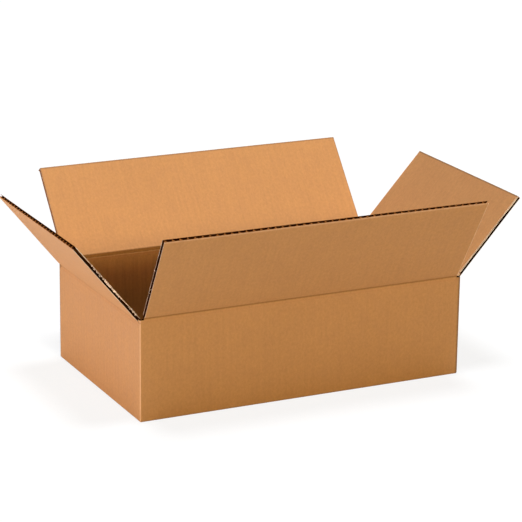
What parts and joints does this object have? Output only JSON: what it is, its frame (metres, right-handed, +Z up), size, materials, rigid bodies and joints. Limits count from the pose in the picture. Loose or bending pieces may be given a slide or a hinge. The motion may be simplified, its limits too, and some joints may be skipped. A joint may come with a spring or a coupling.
{
  "type": "corrugated shipping box",
  "caption": "Slotted shipping box of corrugated board, base closed, standing open with its top flaps leaning out on their folds.",
  "frame": {"origin": "middle of the base, on the plane the box stands on", "axes": "+Z up, +X along the long sides to the right, +Y to the back"},
  "size_m": [0.5065, 0.3424, 0.2041],
  "materials": {
    "board": "matte brown corrugated board, fluted edges open where it is cut"
  },
  "bodies": {
    "body": {"carton_body": "board"},
    "front": {"front_flap": "board"},
    "back": {"back_flap": "board"},
    "left": {"left_flap": "board"},
    "right": {"right_flap": "board"}
  },
  "joints": [
    {"name": "front_fold", "type": "hinge", "parent": "body", "child": "front", "pos_m": [0, -0.1094, 0.109], "axis": [-1, 0, 0], "range_deg": [-135, 120]},
    {"name": "back_fold", "type": "hinge", "parent": "body", "child": "back", "pos_m": [0, 0.1094, 0.109], "axis": [1, 0, 0], "range_deg": [-125.5, 129.5]},
    {"name": "left_fold", "type": "hinge", "parent": "body", "child": "left", "pos_m": [-0.1824, 0, 0.1048], "axis": [0, 1, 0], "range_deg": [-125.5, 129.5]},
    {"name": "right_fold", "type": "hinge", "parent": "body", "child": "right", "pos_m": [0.1824, 0, 0.1048], "axis": [0, -1, 0], "range_deg": [-123, 132]}
  ]
}
